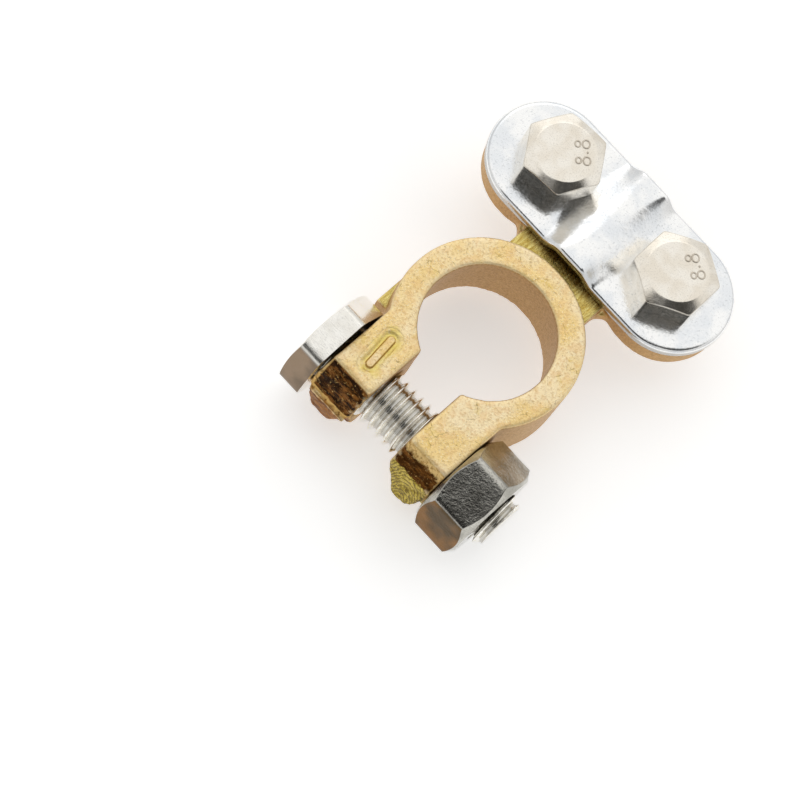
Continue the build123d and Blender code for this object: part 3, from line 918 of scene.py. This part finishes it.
# %% [markdown]
# ## Cable plate
# The plate is sheet pressed over a cable, with rolled edges. Rings that follow its rounded
# outline run from the middle out over the rolled edge and back underneath, and the raised
# channel is added to their height. Its flanks are steep at the plate's two long edges and
# lie softer between them, as a press leaves them, which a plain extrusion can't give.

# %% The raised channel
CHANNEL_RISE, CHANNEL_SAG = 1.45, 0.25
FLANK_FOOT, FLANK_TOP = 4.4, 1.9     # distances from the channel's middle, at a long edge
FLANK_SPREAD = 1.5                   # how much further out the foot is on the centre line


def plate_lift(x, y):
    """rise * soft step from the flank's foot to its top, which both move with middle, 1 on
    the plate's centre line and 0 at its long edges."""
    middle = 1 - np.clip(np.abs(y - SADDLE_Y) / (PLATE_SIZE[1] / 2), 0, 1) ** 2
    base, top = FLANK_FOOT + FLANK_SPREAD * middle, FLANK_TOP * (1 - middle)
    return (CHANNEL_RISE - CHANNEL_SAG * middle) * smooth(np.abs(x), base, top)


# %% Cable plate
EDGE_ROLL = 0.62                     # radius of the rolled upper edge
SIDE_POINTS, END_POINTS = 180, 90     # points on a straight side and on an end


def plate_rings():
    """Rings at the distance d inside the outline, at the height of a sheet with rolled edges:
    sheet - roll + sqrt(roll^2 - (roll - d)^2), then back underneath at height 0."""
    length, width, sheet = PLATE_SIZE
    half, reach = width / 2, (length - width) / 2
    straight = np.linspace(-reach, reach, SIDE_POINTS, endpoint=False)
    arc = np.linspace(-90, 90, END_POINTS, endpoint=False)
    x = np.concatenate([straight, np.full(END_POINTS, reach),
                        -straight, np.full(END_POINTS, -reach)])
    a = np.radians(np.concatenate([np.full(SIDE_POINTS, -90.0), arc,
                                   np.full(SIDE_POINTS, 90.0), arc + 180]))
    out = []
    for d in np.concatenate([np.linspace(half, 1.1, 26), [0.75, 0.5, 0.3, 0.15, 0.05, 0]]):
        short = max(EDGE_ROLL - d, 0)
        out.append((d, sheet - EDGE_ROLL + math.sqrt(EDGE_ROLL ** 2 - short ** 2)))
    out += [(0, 0.45), (0.02, 0.15), (0.12, 0.0)]    # the sheared edge and its lower corner
    out += [(d, 0.0) for d in np.linspace(1.0, half, 10)]
    rows = []
    for d, level in out:
        px = x + (half - d) * np.cos(a)
        py = SADDLE_Y + (half - d) * np.sin(a)
        rows.append(np.stack([px, py, SADDLE_TOP + level + plate_lift(px, py)], axis=-1))
    return np.array(rows)


link("pressed_plate", grid_mesh("pressed_plate", plate_rings()), zinc, "plate", "zinc_plate",
     "cable_plate")

# %% [markdown]
# ## Studio
# Polished steel shows the room, so the room is made for it: light grey all round, a broad
# bright panel of ceiling behind the clamp, and two dark openings, one just under the viewer
# and one beside them, which give the flanks and chamfers their dark sides. A world of soft
# round patches does this with no lamps in sight, and every reflected border stays soft.

# %% World
WALLS = 0.70
SKY = (                              # direction, inner and outer edge in degrees, strength
    ((-0.08, 0.34, 0.94), 28, 60, 0.98),
    ((0.08, -0.50, 0.862), 16, 20, 0.04),
    ((0.42, -0.02, 0.905), 13, 25, 0.06),
)
SKY_COLOR = (1.0, 0.995, 0.985, 1)


def world():
    """Strength over a direction: each patch is a soft step of the angle to its middle."""
    w = bpy.data.worlds.new("studio")
    bpy.context.scene.world = w
    w.use_nodes = True
    tree = Tree(w.node_tree)
    way = tree.add(UNIT, tree.add(COORDINATES)["Generated"])
    strength = WALLS
    for direction, inner, outer, level in SKY:
        near = tree.add(ALONG, way, Vector(direction).normalized())
        patch = tree.add(STEP, near, math.cos(math.radians(outer)), math.cos(math.radians(inner)))
        strength = tree.add(LEVEL, patch, strength, level)
    sky = tree.nodes["Background"]
    tree.feed(sky.inputs["Strength"], strength)
    sky.inputs["Color"].default_value = SKY_COLOR
    print("studio", len(tree.nodes), "nodes")


world()

# %% [markdown]
# ### Floor
# The floor is white paper at the model's lowest point, so the clamp's shadow lies on it. A
# lit sheet alone stays a little grey, and more light would burn out the metal. Its extra
# glow is therefore only for the rays of sight and of reflections, so it lights nothing.

# %% White paper
PAPER = (0.86, 0.86, 0.855, 1)
GLOW = 0.47
LIGHT = ("Emission", {})             # colour, strength
RAY = ("LightPath", {})
TOGETHER = ("AddShader", {})         # surface, surface
EITHER = ("MixShader", {})           # mask, surface at 0, surface at 1


def floor_paper():
    """Matt paper; the rays of sight, of reflections and through glass see it glow as well."""
    m = bpy.data.materials.new("floor_paper")
    m.use_nodes = True
    tree = Tree(m.node_tree)
    paper = tree.nodes["Principled BSDF"]
    paper.inputs["Base Color"].default_value = PAPER
    paper.inputs["Roughness"].default_value = 0.9
    paper.inputs["Specular IOR Level"].default_value = 0.1
    rays = tree.add(RAY)
    seen = rays["Is Camera Ray"]
    for ray in ("Is Glossy Ray", "Is Transmission Ray"):
        seen = tree.add(LARGER, seen, rays[ray])
    glowing = tree.add(TOGETHER, paper.outputs[0], tree.add(LIGHT, (1, 1, 1, 1), GLOW))
    shown = tree.add(EITHER, seen, paper.outputs[0], glowing)
    tree.feed(tree.nodes["Material Output"].inputs[0], shown)
    return m


# %% Floor
FLOOR_HALF = 3.0                     # metres


def floor():
    """A square sheet at the height of the model's lowest point."""
    low = min(cad_box[0][2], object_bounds()[0][2])
    s = FLOOR_HALF
    mesh = bpy.data.meshes.new("floor")
    mesh.from_pydata([(-s, -s, low), (s, -s, low), (s, s, low), (-s, s, low)], [], [(0, 1, 2, 3)])
    obj = bpy.data.objects.new("floor", mesh)
    bpy.context.scene.collection.objects.link(obj)
    mesh.materials.append(floor_paper())
    obj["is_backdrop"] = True
    print("floor at", round(low / MM, 2), "mm")


floor()

# %% [markdown]
# ### Lamp and camera
# One broad, weak lamp behind the clamp lights its far edges and gives the shadow a side,
# which the sky alone doesn't. The camera has a long lens, so the clamp is drawn with little
# perspective, and is rolled so that the clamp lies aslant in the picture.

# %% Lamp
def lamp(name, place, aim, size, watts):
    """A rectangle of light that faces its aim; places and sizes in metres."""
    data = bpy.data.lights.new(name, "AREA")
    data.shape = "RECTANGLE"
    data.size, data.size_y = size
    data.energy = watts
    obj = bpy.data.objects.new(name, data)
    bpy.context.scene.collection.objects.link(obj)
    obj.location = place
    direction = Vector(aim) - Vector(place)
    obj.rotation_euler = direction.to_track_quat("-Z", "Y").to_euler()


lamp("fill", place=(-0.45, 0.60, 0.60), aim=(0, 0.01, 0), size=(0.6, 0.6), watts=0.35)

# %% Camera
CAMERA_PLACE = (34.934, -153.496, 387.531)
CAMERA_AIM = (-1.755, -10.762, 0.0)
CAMERA_ROLL = 33.694                 # degrees
CAMERA_LENS, SENSOR = 149.03, 36.0   # mm


def camera():
    """Looks from its place to its aim, with its right and up turned by the roll."""
    data = bpy.data.cameras.new("camera")
    data.sensor_width = SENSOR
    data.lens = CAMERA_LENS
    data.clip_start, data.clip_end = 0.01, 10
    obj = bpy.data.objects.new("camera", data)
    bpy.context.scene.collection.objects.link(obj)
    place = Vector(CAMERA_PLACE) * MM
    aim = Vector(CAMERA_AIM) * MM
    forward = (aim - place).normalized()
    level = forward.cross(Vector((0, 0, 1))).normalized()
    rise = level.cross(forward)
    roll = math.radians(CAMERA_ROLL)
    right = level * math.cos(roll) + rise * math.sin(roll)
    turn = Matrix((right, right.cross(forward), -forward)).transposed()
    obj.matrix_world = Matrix.Translation(place) @ turn.to_4x4()
    bpy.context.scene.camera = obj
    print("camera", round((aim - place).length / MM), "mm away")


camera()
bpy.context.scene.view_settings.view_transform = "Standard"
